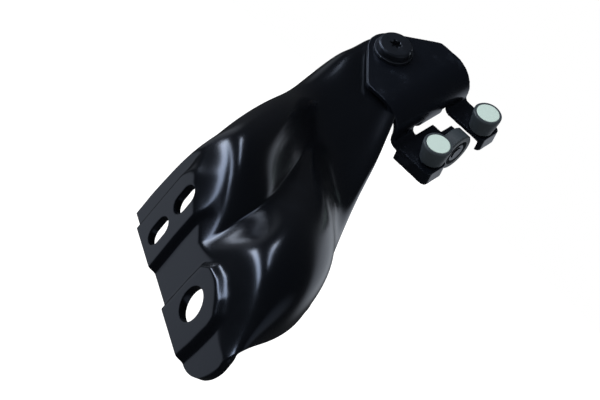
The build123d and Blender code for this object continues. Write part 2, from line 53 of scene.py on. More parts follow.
def linear(hex_colour: str) -> tuple[float, float, float, float]:
    """Turns an sRGB hex colour into the linear values that Blender's sockets take.

    Args:
        hex_colour: the colour as #rrggbb.

    Returns:
        Linear red, green, blue and an alpha of 1.
    """
    parts = [int(hex_colour[i:i + 2], 16) / 255 for i in (1, 3, 5)]
    red, green, blue = [p / 12.92 if p <= 0.04045 else ((p + 0.055) / 1.055) ** 2.4 for p in parts]
    return (red, green, blue, 1.0)


def add_node(tree: bpy.types.NodeTree, kind: str, settings: dict | None = None,
             links: dict | None = None) -> bpy.types.Node:
    """Adds one shader node with its settings and the links into it.

    Args:
        tree: the node tree that gets the node.
        kind: the node's Blender type name.
        settings: attribute names, or input socket names, and their values.
        links: input socket names and the output sockets that feed them.

    Returns:
        The new node.
    """
    node = tree.nodes.new(kind)
    for name, value in (settings or {}).items():
        if hasattr(node, name):
            setattr(node, name, value)
        else:
            node.inputs[name].default_value = value
    for name, source in (links or {}).items():
        tree.links.new(source, node.inputs[name])
    return node


def mix_colour(tree: bpy.types.NodeTree, shader: bpy.types.Node, share: bpy.types.NodeSocket,
               below: tuple | bpy.types.NodeSocket, above: str) -> None:
    """Mixes a second colour into what a shader shows.

    Args:
        tree: the material's node tree.
        shader: the Principled node.
        share: how much of the second colour shows, from 0 to 1.
        below: the linear colour that is there already, or the socket that gives it.
        above: the second colour as #rrggbb.
    """
    # The node has sockets of the same names for every kind of data, so the ones for colours go by number.
    factor, first, second, result = 0, 6, 7, 2
    mix = add_node(tree, "ShaderNodeMix", {"data_type": "RGBA"})
    tree.links.new(share, mix.inputs[factor])
    if isinstance(below, bpy.types.NodeSocket):
        tree.links.new(below, mix.inputs[first])
    else:
        mix.inputs[first].default_value = below
    mix.inputs[second].default_value = linear(above)
    tree.links.new(mix.outputs[result], shader.inputs["Base Color"])


@dataclass(frozen=True)
class Finish:
    """A solid finish with slow changes of gloss and a fine relief.

    Each size is the real one in millimetres: grain_mm is the spacing of the relief, relief_mm its height
    and cloud_mm the spacing of the slow changes of gloss that handling leaves. Where a scuff colour is
    given, the slow noise pales the surface with it. Where an edge colour is given, the sharp outer edges
    are lightened in it, partly as bared metal and partly as a painted highlight along the edges.
    gloss_range and scuff_range are the levels of the slow noise between which the gloss and the scuffs
    grow, edge_range the sharpness over which an edge is lightened, and scuff_most and edge_most how far.
    """

    name: str
    colour: str
    metallic: float
    roughness: float
    roughness_spread: float
    grain_mm: float
    relief_mm: float
    cloud_mm: float
    specular_tint: str = "#ffffff"
    ior: float = 1.5
    scuff_colour: str | None = None
    edge_wear_and_highlight_colour: str | None = None
    gloss_range: tuple[float, float] = (0.3, 0.7)
    scuff_range: tuple[float, float] = (0.58, 0.75)
    scuff_most: float = 0.5
    edge_range: tuple[float, float] = (0.535, 0.60)
    edge_most: float = 1.2

    def build(self) -> bpy.types.Material:
        """Makes the material.

        Returns:
            The node material.
        """
        material = bpy.data.materials.new(self.name)
        material.use_nodes = True
        tree = material.node_tree
        tree.nodes.clear()
        place = add_node(tree, "ShaderNodeTexCoord").outputs["Object"]
        cloud = add_node(tree, "ShaderNodeTexNoise",
                         {"Scale": 1000 / self.cloud_mm, "Detail": 4.0, "Roughness": 0.6}, {"Vector": place})
        grain = add_node(tree, "ShaderNodeTexNoise",
                         {"Scale": 1000 / self.grain_mm, "Detail": 2.0}, {"Vector": place})
        gloss = self.rise(tree, cloud.outputs["Fac"], self.gloss_range,
                          self.roughness - self.roughness_spread, self.roughness + self.roughness_spread)
        relief = add_node(tree, "ShaderNodeBump", {"Strength": 1.0, "Distance": self.relief_mm * MM},
                          {"Height": grain.outputs["Fac"]})
        shader = add_node(tree, "ShaderNodeBsdfPrincipled",
                          {"Base Color": linear(self.colour), "Metallic": self.metallic},
                          {"Roughness": gloss, "Normal": relief.outputs["Normal"]})
        if self.metallic == 0:
            shader.inputs["IOR"].default_value = self.ior
            shader.inputs["Specular Tint"].default_value = linear(self.specular_tint)
        if self.scuff_colour:
            self.add_scuffs(tree, shader, cloud.outputs["Fac"])
        # The pale colour on sharp edges is partly wear and partly a painted highlight.
        if self.edge_wear_and_highlight_colour:
            self.add_edge_wear_and_highlight(tree, shader, grain.outputs["Fac"])
        add_node(tree, "ShaderNodeOutputMaterial", links={"Surface": shader.outputs["BSDF"]})
        return material

    def rise(self, tree: bpy.types.NodeTree, source: bpy.types.NodeSocket, between: tuple[float, float],
             low: float, high: float) -> bpy.types.NodeSocket:
        """Turns a source that rises between two levels into a value from low to high.

        Args:
            tree: the material's node tree.
            source: the socket that is read.
            between: the two levels of the source.
            low: the value at the first level and below it.
            high: the value at the second level and above it.

        Returns:
            The socket that gives the value.
        """
        return add_node(tree, "ShaderNodeMapRange", {
            "From Min": between[0], "From Max": between[1], "To Min": low, "To Max": high},
            {"Value": source}).outputs["Result"]

    def add_scuffs(self, tree: bpy.types.NodeTree, shader: bpy.types.Node,
                   cloud: bpy.types.NodeSocket) -> None:
        """Pales the colour a little where the slow noise peaks, as dust and handling do.

        Args:
            tree: the material's node tree.
            shader: the Principled node.
            cloud: the slow noise.
        """
        share = self.rise(tree, cloud, self.scuff_range, 0.0, self.scuff_most)
        mix_colour(tree, shader, share, linear(self.colour), self.scuff_colour)

    def add_edge_wear_and_highlight(self, tree: bpy.types.NodeTree, shader: bpy.types.Node,
                  grain: bpy.types.NodeSocket) -> None:
        """Lightens the sharp outer edges a little: partly bared metal, where the coat is thin and handling
        rubs it off, and partly a painted highlight along the edges.

        Args:
            tree: the material's node tree.
            shader: the Principled node.
            grain: the fine noise, which breaks the line up.
        """
        # Convex edges get the pale colour: partly bared metal, partly a painted highlight along the rims.
        shape = add_node(tree, "ShaderNodeNewGeometry")
        share = self.rise(tree, shape.outputs["Pointiness"], self.edge_range, 0.0, self.edge_most)
        broken = add_node(tree, "ShaderNodeMath", {"operation": "MULTIPLY", "use_clamp": True})
        tree.links.new(share, broken.inputs[0])
        tree.links.new(grain, broken.inputs[1])
        links = shader.inputs["Base Color"].links
        below = links[0].from_socket if links else linear(self.colour)
        mix_colour(tree, shader, broken.outputs[0], below, self.edge_wear_and_highlight_colour)


# E-coat dries as a smooth, slightly orange-peeled film: deep black, with sharp, bluish reflections.
E_COAT = Finish("e_coated_pressed_steel", "#0a0c10", 0.0, 0.2, 0.03, 1.6, 0.004, 60.0,
                specular_tint="#d6e4ff", scuff_colour="#14171c")
# The same coat on the folded bracket, which is handled when assembled: duller, paler patches.
E_COAT_WORN = Finish("e_coated_folded_steel", "#0d1016", 0.0, 0.24, 0.05, 1.2, 0.005, 14.0,
                     specular_tint="#d6e4ff", scuff_colour="#262c36")
# Turned steel under a thin black phosphate: satin, a little greyer than the e-coat.
# Its sharp edges are lightened in pale blue-grey: partly bared steel, partly a painted highlight.
BLACKED = Finish("phosphated_turned_steel", "#15181d", 0.0, 0.32, 0.05, 0.8, 0.006, 8.0,
                 specular_tint="#d6e4ff", scuff_colour="#2a2f37", edge_wear_and_highlight_colour="#a3adba")
# Black passivation over zinc leaves a dark, satin metal that still mirrors.
PASSIVATED = Finish("passivated_turned_steel", "#4a4e55", 1.0, 0.34, 0.06, 0.6, 0.004, 9.0)
# Pressed and sintered powder stays open-pored, so the warm metal looks matt and a little grainy.
BRONZE = Finish("sintered_bronze", "#9a7a4e", 1.0, 0.42, 0.06, 0.35, 0.012, 7.0)
# Moulded polyamide keeps the tool's fine spark-eroded skin, so its gloss is broad and soft.
TYRE = Finish("moulded_polyamide_dark", "#3a4248", 0.0, 0.45, 0.05, 0.5, 0.01, 10.0, scuff_colour="#4a525a")
# The hub is moulded in a greyer polyamide in a smoother tool, so it is a little glossier than the tyre.
HUB = Finish("moulded_polyamide_grey", "#3a4046", 0.0, 0.4, 0.05, 0.5, 0.01, 8.0, scuff_colour="#4a5056")
# Undyed polyamide is a milky, faintly green white, and its moulded skin is almost without gloss.
FACE = Finish("moulded_polyamide_natural", "#cfe3da", 0.0, 0.5, 0.04, 0.6, 0.008, 6.0, scuff_colour="#bdd0c8")


class Paint(Enum):
    """The finishes of the part, each with the name of its material slot."""

    E_COATED_STEEL = ("e_coated_steel", E_COAT)
    E_COATED_BRACKET = ("e_coated_steel", E_COAT_WORN)
    BLACKED_STEEL = ("blacked_steel", BLACKED)
    TURNED_STEEL = ("turned_steel", PASSIVATED)
    SINTERED_BRONZE = ("sintered_bronze", BRONZE)
    BLACK_POLYAMIDE = ("black_polyamide", TYRE)
    GREY_POLYAMIDE = ("grey_polyamide", HUB)
    NATURAL_POLYAMIDE = ("natural_polyamide", FACE)

    @property
    def slot(self) -> str:
        """The name of the finish's material slot."""
        return self.value[0]

    def material(self) -> bpy.types.Material:
        """The Blender material, made on first use."""
        finish = self.value[1]
        return bpy.data.materials.get(finish.name) or finish.build()


@dataclass
class SubAssembly:
    """Pieces of one body that share a way of being made."""

    body: str
    paints: dict[str, Paint] = field(default_factory=dict)

    def dress(self) -> None:
        """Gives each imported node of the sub-assembly its finish."""
        for node, paint in self.paints.items():
            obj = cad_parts[node]
            obj.data.materials.clear()
            obj.data.materials.append(paint.material())
            LOG.info("dressed %s in %s", node, paint.value[1].name)

    def round_edges(self, obj: bpy.types.Object, voxel_mm: float, passes: int) -> None:
        """Rounds every edge of a piece, as the die, the lathe and the coat do.

        Args:
            obj: the piece.
            voxel_mm: the size of the faces that carry the rounding.
            passes: how far the rounding goes.
        """
        remesh = obj.modifiers.new("skin", "REMESH")
        remesh.mode = "VOXEL"
        remesh.voxel_size = voxel_mm * MM
        remesh.use_smooth_shade = True
        smooth = obj.modifiers.new("rounding", "SMOOTH")
        smooth.factor = 0.5
        smooth.iterations = passes


@dataclass(frozen=True)
class PivotFrame:
    """The place of the pivot pin and three directions of the bracket as it rests.

    along runs along the rail, away points from the rollers to the pin and on, and pin points up the pin.
    """

    place: tuple[float, float, float] = (-152.0, 149.0, 80.0)
    along: tuple[float, float, float] = (-0.482963, 0.685294, 0.545083)
    away: tuple[float, float, float] = (-0.836516, -0.545083, -0.055887)
    pin: tuple[float, float, float] = (0.258819, -0.482963, 0.836516)

    def point(self, along: float, away: float, up: float) -> np.ndarray:
        """A place seen from the pin, in the row frame, in millimetres."""
        return np.array(self.place) + along * np.array(self.along) + away * np.array(self.away) \
            + up * np.array(self.pin)


PIVOT = PivotFrame()


@dataclass(frozen=True)
class Section:
    """One cut through the arm parallel to the door: its depth, and nine places from back to side.

    The places are the back edge, the back shoulder, the first ridge, its flank, the valley, the rim of the
    valley, the second ridge, the side shoulder and the side edge, each as X and Z in millimetres.
    """

    depth: float
    places: tuple[tuple[float, float], ...]

    def points(self) -> np.ndarray:
        """The nine places as points of the row frame, in millimetres."""
        return np.array([(x, self.depth, z) for x, z in self.places])


@dataclass(frozen=True)
class HeadSection:
    """One flat cut through the head: its depth, its two ends as the pin sees them, and their drops."""

    depth: float
    back: tuple[float, float]
    front: tuple[float, float]
    back_drop: float
    front_drop: float


@dataclass(frozen=True)
class Pad:
    """A fixing pad: the corners of its foot on the flange, as X and Z in millimetres."""

    corners: tuple[tuple[float, float], ...]

    def depth_inside(self, x: np.ndarray, z: np.ndarray) -> np.ndarray:
        """How far each place lies inside the outline, negative outside.

        Args:
            x: places across the flange.
            z: places up the flange.

        Returns:
            The distance to the outline in millimetres.
        """
        corners = np.array(self.corners, float)
        nearest = np.full(x.shape, 1e9)
        inside = np.zeros(x.shape, bool)
        for (ax, az), (bx, bz) in zip(corners, np.roll(corners, -1, axis=0)):
            run_x, run_z = bx - ax, bz - az
            share = np.clip(((x - ax) * run_x + (z - az) * run_z) / (run_x ** 2 + run_z ** 2), 0, 1)
            nearest = np.minimum(nearest, np.hypot(x - ax - share * run_x, z - az - share * run_z))
            crosses = ((az > z) != (bz > z)) & (x < ax + run_x * (z - az) / (run_z or 1e-9))
            inside ^= crosses
        return np.where(inside, nearest, -nearest)


def natural_spline(knots: np.ndarray, values: np.ndarray, at: np.ndarray) -> np.ndarray:
    """Draws a natural cubic spline through values at the knots.

    Args:
        knots: rising parameters, one for each value.
        values: one row for each knot.
        at: parameters to read the spline at.

    Returns:
        One row for each parameter.
    """
    n = len(knots)
    gaps = np.diff(knots)
    matrix = np.zeros((n, n))
    right = np.zeros((n, values.shape[1]))
    matrix[0, 0] = matrix[-1, -1] = 1
    for i in range(1, n - 1):
        matrix[i, i - 1:i + 2] = gaps[i - 1], 2 * (gaps[i - 1] + gaps[i]), gaps[i]
        right[i] = 6 * ((values[i + 1] - values[i]) / gaps[i] - (values[i] - values[i - 1]) / gaps[i - 1])
    bend = np.linalg.solve(matrix, right)
    i = np.clip(np.searchsorted(knots, at, side="right") - 1, 0, n - 2)
    gap = gaps[i][:, None]
    after = (at - knots[i])[:, None]
    before = gap - after
    return (bend[i] * before ** 3 + bend[i + 1] * after ** 3) / (6 * gap) \
        + (values[i] / gap - bend[i] * gap / 6) * before \
        + (values[i + 1] / gap - bend[i + 1] * gap / 6) * after


def chord_knots(points: np.ndarray) -> np.ndarray:
    """Parameters along a row of points, spaced by the root of the distance between them."""
    steps = np.sqrt(np.linalg.norm(np.diff(points, axis=0), axis=1))
    return np.concatenate([[0], np.cumsum(steps)])


@dataclass(frozen=True)
class Opening:
    """A round hole or a slot through a sheet, in millimetres.

    The slot runs along up, and reach is how far its round ends stand from its middle. The sheet's points
    within margin of the outline go, edges within join of it are joined to the new outline of so many
    points, and only the part of the sheet within layer of the opening's plane counts.
    """

    middle: Vector
    across: Vector
    up: Vector
    radius: float
    reach: float
    margin: float = 0.5
    join: float = 2.5
    layer: float = 3.0
    points: int = 72

    def distance(self, point: Vector) -> float:
        """How far a point of the sheet lies outside the opening's outline, negative inside."""
        place = point / MM - self.middle
        along = place.dot(self.up)
        along -= max(-self.reach, min(self.reach, along))
        return math.hypot(place.dot(self.across), along) - self.radius

    def cut(self, work: bmesh.types.BMesh) -> None:
        """Cuts the opening and joins its clean outline to the faces round it.

        Args:
            work: the open sheet, changed in place.
        """
        normal = self.across.cross(self.up)
        near = [v for v in work.verts if self.distance(v.co) < self.margin
                and abs((v.co / MM - self.middle).dot(normal)) < self.layer]
        bmesh.ops.delete(work, geom=near, context="VERTS")
        rough = [e for e in work.edges
                 if e.is_boundary and all(self.distance(v.co) < self.join for v in e.verts)
                 and abs((e.verts[0].co / MM - self.middle).dot(normal)) < self.layer]
        plane = sum(((v.co / MM - self.middle).dot(normal) for e in rough for v in e.verts), 0.0)
        height = plane / max(1, 2 * len(rough))
        ring = []
        for turn in range(self.points):
            angle = 2 * math.pi * turn / self.points
            shift = math.copysign(self.reach, math.sin(angle)) if self.reach else 0.0
            place = self.middle + self.across * self.radius * math.cos(angle) \
                + self.up * (self.radius * math.sin(angle) + shift) + normal * height
            ring.append(work.verts.new(place * MM))
        clean = [work.edges.new((ring[i], ring[(i + 1) % self.points])) for i in range(self.points)]
        made = bmesh.ops.triangle_fill(work, use_beauty=True, edges=rough + clean, normal=normal)
        faces = [f for f in made["geom"] if isinstance(f, bmesh.types.BMFace)]
        for face in faces:
            face.smooth = True
        bmesh.ops.recalc_face_normals(work, faces=work.faces)


def thicken(work: bmesh.types.BMesh, sheet: float, evening: int) -> None:
    """Gives an open sheet its thickness, away from the way its faces look.

    Args:
        work: the open sheet, changed in place into a closed one.
        sheet: the thickness in millimetres.
        evening: how many times the ways are averaged with their neighbours', so that the inner face
            turns its corners gradually.
    """
    work.normal_update()
    work.verts.index_update()
    outer = list(work.verts)
    ways = np.array([v.normal for v in outer])
    ends = np.array([(e.verts[0].index, e.verts[1].index) for e in work.edges])
    for _ in range(evening):
        total = ways.copy()
        np.add.at(total, ends[:, 0], ways[ends[:, 1]])
        np.add.at(total, ends[:, 1], ways[ends[:, 0]])
        ways = total / np.linalg.norm(total, axis=1, keepdims=True)
    rim = [(e.verts[0], e.verts[1], e.link_faces[0]) for e in work.edges if e.is_boundary]
    faces = list(work.faces)
    inner = {v: work.verts.new(v.co - Vector(way) * sheet * MM) for v, way in zip(outer, ways.tolist())}
    for face in faces:
        work.faces.new([inner[v] for v in reversed(face.verts)]).smooth = True
    for first, second, face in rim:
        loop = list(face.verts)
        if loop[(loop.index(first) + 1) % len(loop)] is second:
            first, second = second, first
        work.faces.new((first, second, inner[second], inner[first])).smooth = True
    work.normal_update()


SHARP_EDGE = math.radians(55)


def round_rims(work: bmesh.types.BMesh, radius: float) -> None:
    """Rounds the sharp edges that shearing and punching leave, as tumbling and the coat do.

    Args:
        work: the closed sheet, changed in place.
        radius: the width of the rounding in millimetres.
    """
    sharp = [e for e in work.edges if len(e.link_faces) == 2 and e.calc_face_angle(0) > SHARP_EDGE]
    bmesh.ops.bevel(work, geom=sharp, offset=radius * MM, segments=2, profile=0.5, affect="EDGES",
                    clamp_overlap=True)
    for face in work.faces:
        face.smooth = True


@dataclass
class Arm(SubAssembly):
    """The drawn arm with the sleeve and bushes of the pivot. Sizes are in millimetres.

    The pads rise from the flange over pad_slope. Up the bulge, between the two pad_heights, the slope
    widens to pad_fading_slope, and the rise ends pad_fade deep. fairing, last_passes, edge_passes,
    evening and pad_passes count how many times a surface or an edge is averaged with its neighbours.
    """

    body: str = "arm"
    paints: dict[str, Paint] = field(default_factory=lambda: {
        "pivot_sleeve": Paint.E_COATED_STEEL, "pivot_bush_upper": Paint.SINTERED_BRONZE,
        "pivot_bush_lower": Paint.SINTERED_BRONZE})
    sheet: float = 4.0
    rim_radius: float = 0.35
    pad_rise: float = 3.0
    pad_slope: float = 1.8
    pad_fading_slope: float = 22.0
    pad_heights: tuple[float, float] = (16.0, 34.0)
    pad_fade: float = 5.0
    pad_passes: int = 4
    trim: float = 0.1
    flange_foot: float = -23.0
    flange_end: float = 98.0
    flange_corner: float = 20.0
    slot_pitch: float = 21.0
    slot_length: float = 16.0
    slot_width: float = 11.0
    hole_place: tuple[float, float] = (58.0, -5.5)
    hole_width: float = 17.0
    sleeve_width: float = 24.1
    head_top: float = 3.4
    columns: int = 221
    flange_rows: int = 84
    row_step: float = 1.1
    fairing: int = 160
    fairing_depth: float = 11.0
    fairing_least: float = 0.12
    crease_end: float = 95.0
    crease_run: float = 30.0
    last_passes: int = 4
    last_share: float = 0.6
    edge_passes: int = 60
    evening: int = 60
    head_shares: tuple[float, ...] = (0, 0.05, 0.22, 0.36, 0.5, 0.6, 0.76, 0.95, 1)
    shoulder_drop: float = 0.3
    junction: tuple[tuple[float, float], ...] = (
        (-30, -8), (-21, 28), (-3, 20), (12, 14), (28, 8), (37, 9.5), (59.5, 12), (80, 2), (98, 0))
    foot: tuple[float, ...] = (-30, -25, -6, 12, 28, 37, 58, 77, 92.1)
    sections: tuple[Section, ...] = (
        Section(6, ((-31, -6), (-24, 34), (-4, 34), (12, 24), (29, 12.8),
                    (36, 15), (60, 26), (85, 13), (97.2, 4.5))),
        Section(12, ((-39, -2), (-29, 41), (-9, 45), (9, 36.5), (26.5, 22),
                     (35, 24.5), (58, 36), (87, 20), (93.5, 7.5))),
        Section(25, ((-56, 4), (-47, 41), (-24, 50), (-4, 44), (16.6, 34.5),
                     (31.5, 39.3), (50, 43), (79, 30), (84.5, 8))),
        Section(45, ((-82, 8), (-72, 43), (-46, 53), (-28, 45), (-10.7, 35.7),
                     (3.5, 41), (25, 44.5), (60, 35), (67, 9))),
        Section(70, ((-110, 14), (-102, 43), (-79, 52), (-63, 46), (-47, 39.9),
                     (-38.5, 42.3), (-9, 42), (27, 30), (38, 3))),
        Section(98, ((-140, 30), (-133, 46), (-115, 50), (-101, 47), (-85.7, 43),
                     (-75, 40.8), (-50, 34), (-14, 21), (0, -2))),
    )
    head: tuple[HeadSection, ...] = (
        HeadSection(120, (-20, 19.5), (-92, -69), 8.0, 17.0),
        HeadSection(130, (-9, 20), (-72, -58), 5.5, 15.0),
        HeadSection(140, (5.5, 20), (-47, -45), 5.0, 13.0),
        HeadSection(150, (15.5, 14), (-23, -32), 5.0, 6.0),
        HeadSection(158, (20, 4.5), (-4, -25), 5.0, 5.0),
        HeadSection(164.5, (19.8, -7), (9.5, -18.7), 5.0, 5.0),
    )
    pads: tuple[Pad, ...] = (
        Pad(((-19, -60), (-17.2, 14), (-14.5, 22), (-9, 27), (-2, 60), (22, 60), (15.5, 10), (15, -2),
             (16, -60))),
        Pad(((40.5, -60), (42, -5), (43, 6.6), (50.4, 12.6), (60, 13.8), (70, 11), (77, 5.5), (78.5, -1.2),
             (77.5, -13), (70, -60))),
    )

    def build(self) -> None:
        """Dresses the pivot's pieces and makes the pressing."""
        self.dress()
        work = self.skin(self.surface())
        for opening in self.openings():
            opening.cut(work)
        thicken(work, self.sheet, self.evening)
        round_rims(work, self.rim_radius)
        for vert in work.verts:
            vert.co.x = min(vert.co.x, (self.flange_end - self.trim) * MM)
            vert.co.z = max(vert.co.z, (self.flange_foot + self.trim / 2) * MM)
        mesh = bpy.data.meshes.new("arm_skin")
        work.to_mesh(mesh)
        work.free()
        mesh.materials.append(Paint.E_COATED_STEEL.material())
        pressing = bpy.data.objects.new("arm_skin", mesh)
        bpy.context.scene.collection.objects.link(pressing)
        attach(pressing, self.body)
        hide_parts("arm_pressing")
        LOG.info("built the pressing with %d faces", len(mesh.polygons))

    def openings(self) -> list[Opening]:
        """The slots, the large hole and the eye for the sleeve."""
        half = self.slot_pitch / 2
        reach = (self.slot_length - self.slot_width) / 2
        door = (Vector((1, 0, 0)), Vector((0, 0, 1)))
        pin = (Vector(PIVOT.along), Vector(PIVOT.away))
        return [Opening(Vector((0, 0, -half)), *door, self.slot_width / 2, reach),
                Opening(Vector((0, 0, half)), *door, self.slot_width / 2, reach),
                Opening(Vector((self.hole_place[0], 0, self.hole_place[1])), *door, self.hole_width / 2, 0),
                Opening(Vector(PIVOT.point(0, 0, self.head_top)), *pin, self.sleeve_width / 2, 0)]

    def skin(self, outer: np.ndarray) -> bmesh.types.BMesh:
        """Turns the grid into one sheet of faces that look outward.

        Args:
            outer: the outer surface.

        Returns:
            The open sheet, in metres.
        """
        rows, columns = outer.shape[:2]
        work = bmesh.new()
        points = [work.verts.new(p) for p in (outer.reshape(-1, 3) * MM).tolist()]
        for i in range(rows - 1):
            for j in range(columns - 1):
                a = i * columns + j
                b = a + columns
                work.faces.new((points[a], points[a + 1], points[b + 1], points[b])).smooth = True
        work.normal_update()
        return work

    def across(self, places: np.ndarray) -> np.ndarray:
        """Draws one section through its nine places, with a crease at the valley.

        Args:
            places: the nine places.

        Returns:
            The section's points, spread over the columns.
        """
        half = self.columns // 2 + 1
        parts = []
        for run in (places[:5], places[4:]):
            knots = chord_knots(run)
            parts.append(natural_spline(knots, run, np.linspace(0, knots[-1], half)))
        return np.vstack([parts[0], parts[1][1:]])

    def head_points(self, cut: HeadSection) -> np.ndarray:
        """The nine places of one flat cut through the head."""
        start, end = [PIVOT.point(*place, self.head_top) for place in (cut.back, cut.front)]
        places = np.array([start + (end - start) * share for share in self.head_shares])
        places[0, 2] -= cut.back_drop
        places[1, 2] -= self.shoulder_drop * cut.back_drop
        places[-1, 2] -= cut.front_drop
        places[:, 1] = cut.depth
        return places

    def surface(self) -> np.ndarray:
        """Lays the outer surface as one grid from the foot of the flange to the tip of the head.

        Returns:
            Rows by columns by X, Y and Z, in millimetres.
        """
        junction = np.array([(x, self.pad_rise, z) for x, z in self.junction])
        nets = [junction] + [s.points() for s in self.sections] + [self.head_points(h) for h in self.head]
        rows = np.array([self.across(net) for net in nets])
        middle = rows[:, self.columns // 2]
        knots = chord_knots(middle)
        length = np.linalg.norm(np.diff(middle, axis=0), axis=1).sum()
        count = int(length / self.row_step)
        flat = rows.reshape(len(rows), -1)
        body = natural_spline(knots, flat, np.linspace(0, knots[-1], count)).reshape(count, -1, 3)
        grid = np.concatenate([self.flange(body[0])[:-1], body])
        self.fair(grid)
        self.raise_pads(grid)
        return grid

    def fair(self, grid: np.ndarray) -> None:
        """Evens the surface out as drawing does, and keeps the valley's crease sharp up to the neck.

        Args:
            grid: the outer surface, changed in place.
        """
        middle = self.columns // 2
        depth = grid[1:-1, 1:-1, 1:2]
        share = 0.5 * np.clip((depth - self.pad_rise) / self.fairing_depth, self.fairing_least, 1)
        crease = np.clip((self.crease_end - grid[1:-1, middle, 1:2]) / self.crease_run, 0, 1)
        for _ in range(self.fairing):
            along = (grid[:-2, 1:-1] + grid[2:, 1:-1]) / 2
            around = (along + (grid[1:-1, :-2] + grid[1:-1, 2:]) / 2) / 2
            around[:, middle - 1] += crease * (along - around)[:, middle - 1]
            grid[1:-1, 1:-1] += share * (around - grid[1:-1, 1:-1])
        for _ in range(self.last_passes):
            around = (grid[:-2, 1:-1] + grid[2:, 1:-1] + grid[1:-1, :-2] + grid[1:-1, 2:]) / 4
            grid[1:-1, 1:-1] += self.last_share * (around - grid[1:-1, 1:-1])
        for _ in range(self.edge_passes):
            for edge in (0, -1):
                grid[1:-1, edge] += 0.5 * ((grid[:-2, edge] + grid[2:, edge]) / 2 - grid[1:-1, edge])

    def flange(self, junction: np.ndarray) -> np.ndarray:
        """Lays the flange from its foot up to the junction with the bulges.

        Args:
            junction: the first row of the bulges.

        Returns:
            The flange's rows, the last of them the junction.
        """
        foot_x = np.interp(np.linspace(0, 1, junction.shape[0]),
                           np.linspace(0, 1, len(self.foot)), self.foot)
        centre = np.array([self.flange_end - self.flange_corner, self.flange_foot + self.flange_corner])
        into_corner = np.clip(foot_x - centre[0], 0, self.flange_corner)
        foot_z = centre[1] - np.sqrt(self.flange_corner ** 2 - into_corner ** 2)
        foot = np.stack([foot_x, np.full_like(foot_x, self.pad_rise), foot_z], axis=1)
        shares = np.linspace(0, 1, self.flange_rows)
        rows = foot + (junction - foot) * shares[:, None, None]
        start = math.atan2(foot_z[-1] - centre[1], foot_x[-1] - centre[0])
        rows[:, -1, 0] = centre[0] + self.flange_corner * np.cos(start * (1 - shares))
        rows[:, -1, 2] = centre[1] + self.flange_corner * np.sin(start * (1 - shares))
        return rows

    def raise_pads(self, grid: np.ndarray) -> None:
        """Presses the two pads out of the flange towards the door.

        Args:
            grid: the outer surface, changed in place.
        """
        x, y, z = grid[..., 0], grid[..., 1], grid[..., 2]
        near = np.clip(1 - (y - self.pad_rise) / self.pad_fade, 0, 1)
        rise = np.zeros_like(x)
        for pad in self.pads:
            slope = np.interp(z, self.pad_heights, (self.pad_slope, self.pad_fading_slope))
            share = np.clip(pad.depth_inside(x, z) / slope + 0.5, 0, 1)
            rise = np.maximum(rise, share)
        for _ in range(self.pad_passes):
            rise[:, 1:-1] = (rise[:, :-2] + 2 * rise[:, 1:-1] + rise[:, 2:]) / 4
            rise[1:-1] = (rise[:-2] + 2 * rise[1:-1] + rise[2:]) / 4
        grid[..., 1] -= self.pad_rise * rise * near


@dataclass
class Carriage(SubAssembly):
    """The folded bracket with the pivot pin and the studs of the rollers. Sizes are in millimetres.

    Places up the pin and away from the rollers are those of PIVOT. The edges of the turned pieces and of
    the folded bracket are rounded with faces of a voxel's size, averaged so many passes.
    """

    body: str = "carriage"
    paints: dict[str, Paint] = field(default_factory=lambda: {
        "pivot_pin": Paint.BLACKED_STEEL,
        "pin_washer": Paint.BLACKED_STEEL, "pin_collar": Paint.TURNED_STEEL,
        "guide_stud_near": Paint.TURNED_STEEL, "guide_stud_far": Paint.TURNED_STEEL,
        "guide_clip_near": Paint.TURNED_STEEL, "guide_clip_far": Paint.TURNED_STEEL,
        "load_axle": Paint.TURNED_STEEL, "load_clip": Paint.TURNED_STEEL})

    half_width: float = 34.5
    sheet: float = 3.0
    rim_foot: float = -24.5
    rim_head: float = -16.5
    rim_reach: tuple[float, float] = (-53.0, -46.0)
    turned_voxel: float = 0.25
    turned_passes: int = 2
    folded_voxel: float = 0.45
    folded_passes: int = 5

    def build(self) -> None:
        """Dresses the turned pieces, rounds the pin's edges and makes the folded bracket."""
        self.dress()
        for node in ("pivot_pin", "pin_washer"):
            self.round_edges(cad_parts[node], self.turned_voxel, self.turned_passes)
        self.bracket()

    def bracket(self) -> None:
        """Joins the folded bracket and the rims that carry its web on along the ears."""
        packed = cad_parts["carriage_bracket"]
        work = bmesh.new()
        work.from_mesh(packed.data)
        work.transform(packed.matrix_world)
        for side in (-1, 1):
            self.rim(work, side)
        mesh = bpy.data.meshes.new("bracket_skin")
        work.to_mesh(mesh)
        work.free()
        mesh.materials.clear()
        mesh.materials.append(Paint.E_COATED_BRACKET.material())
        skin = bpy.data.objects.new("bracket_skin", mesh)
        bpy.context.scene.collection.objects.link(skin)
        self.round_edges(skin, self.folded_voxel, self.folded_passes)
        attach(skin, self.body)
        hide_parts("carriage_bracket")
        LOG.info("built the bracket")

    def rim(self, work: bmesh.types.BMesh, side: int) -> None:
        """Adds one turned-down rim beside an ear.

        Args:
            work: the bracket, changed in place.
            side: 1 for the ear along the rail, -1 for the other.
        """
        corners = [work.verts.new(Vector(PIVOT.point(side * along, away, up)) * MM)
                   for up in (self.rim_foot, self.rim_head) for away in self.rim_reach
                   for along in (self.half_width - self.sheet, self.half_width)]
        for ring in ((0, 1, 3, 2), (4, 6, 7, 5), (0, 4, 5, 1), (2, 3, 7, 6), (0, 2, 6, 4), (1, 5, 7, 3)):
            face = work.faces.new([corners[i] for i in (ring if side < 0 else ring[::-1])])
            face.smooth = True
        bmesh.ops.recalc_face_normals(work, faces=work.faces)


@dataclass
class GuideRoller(SubAssembly):
    """One upright roller: dark tyre, pale end face and sintered bush."""

    body: str = "guide_roller_near"
    side: str = "near"

    def build(self) -> None:
        """Dresses the roller."""
        self.paints = {f"guide_tyre_{self.side}": Paint.BLACK_POLYAMIDE,
                       f"guide_face_{self.side}": Paint.NATURAL_POLYAMIDE,
                       f"guide_bush_{self.side}": Paint.SINTERED_BRONZE}
        self.dress()


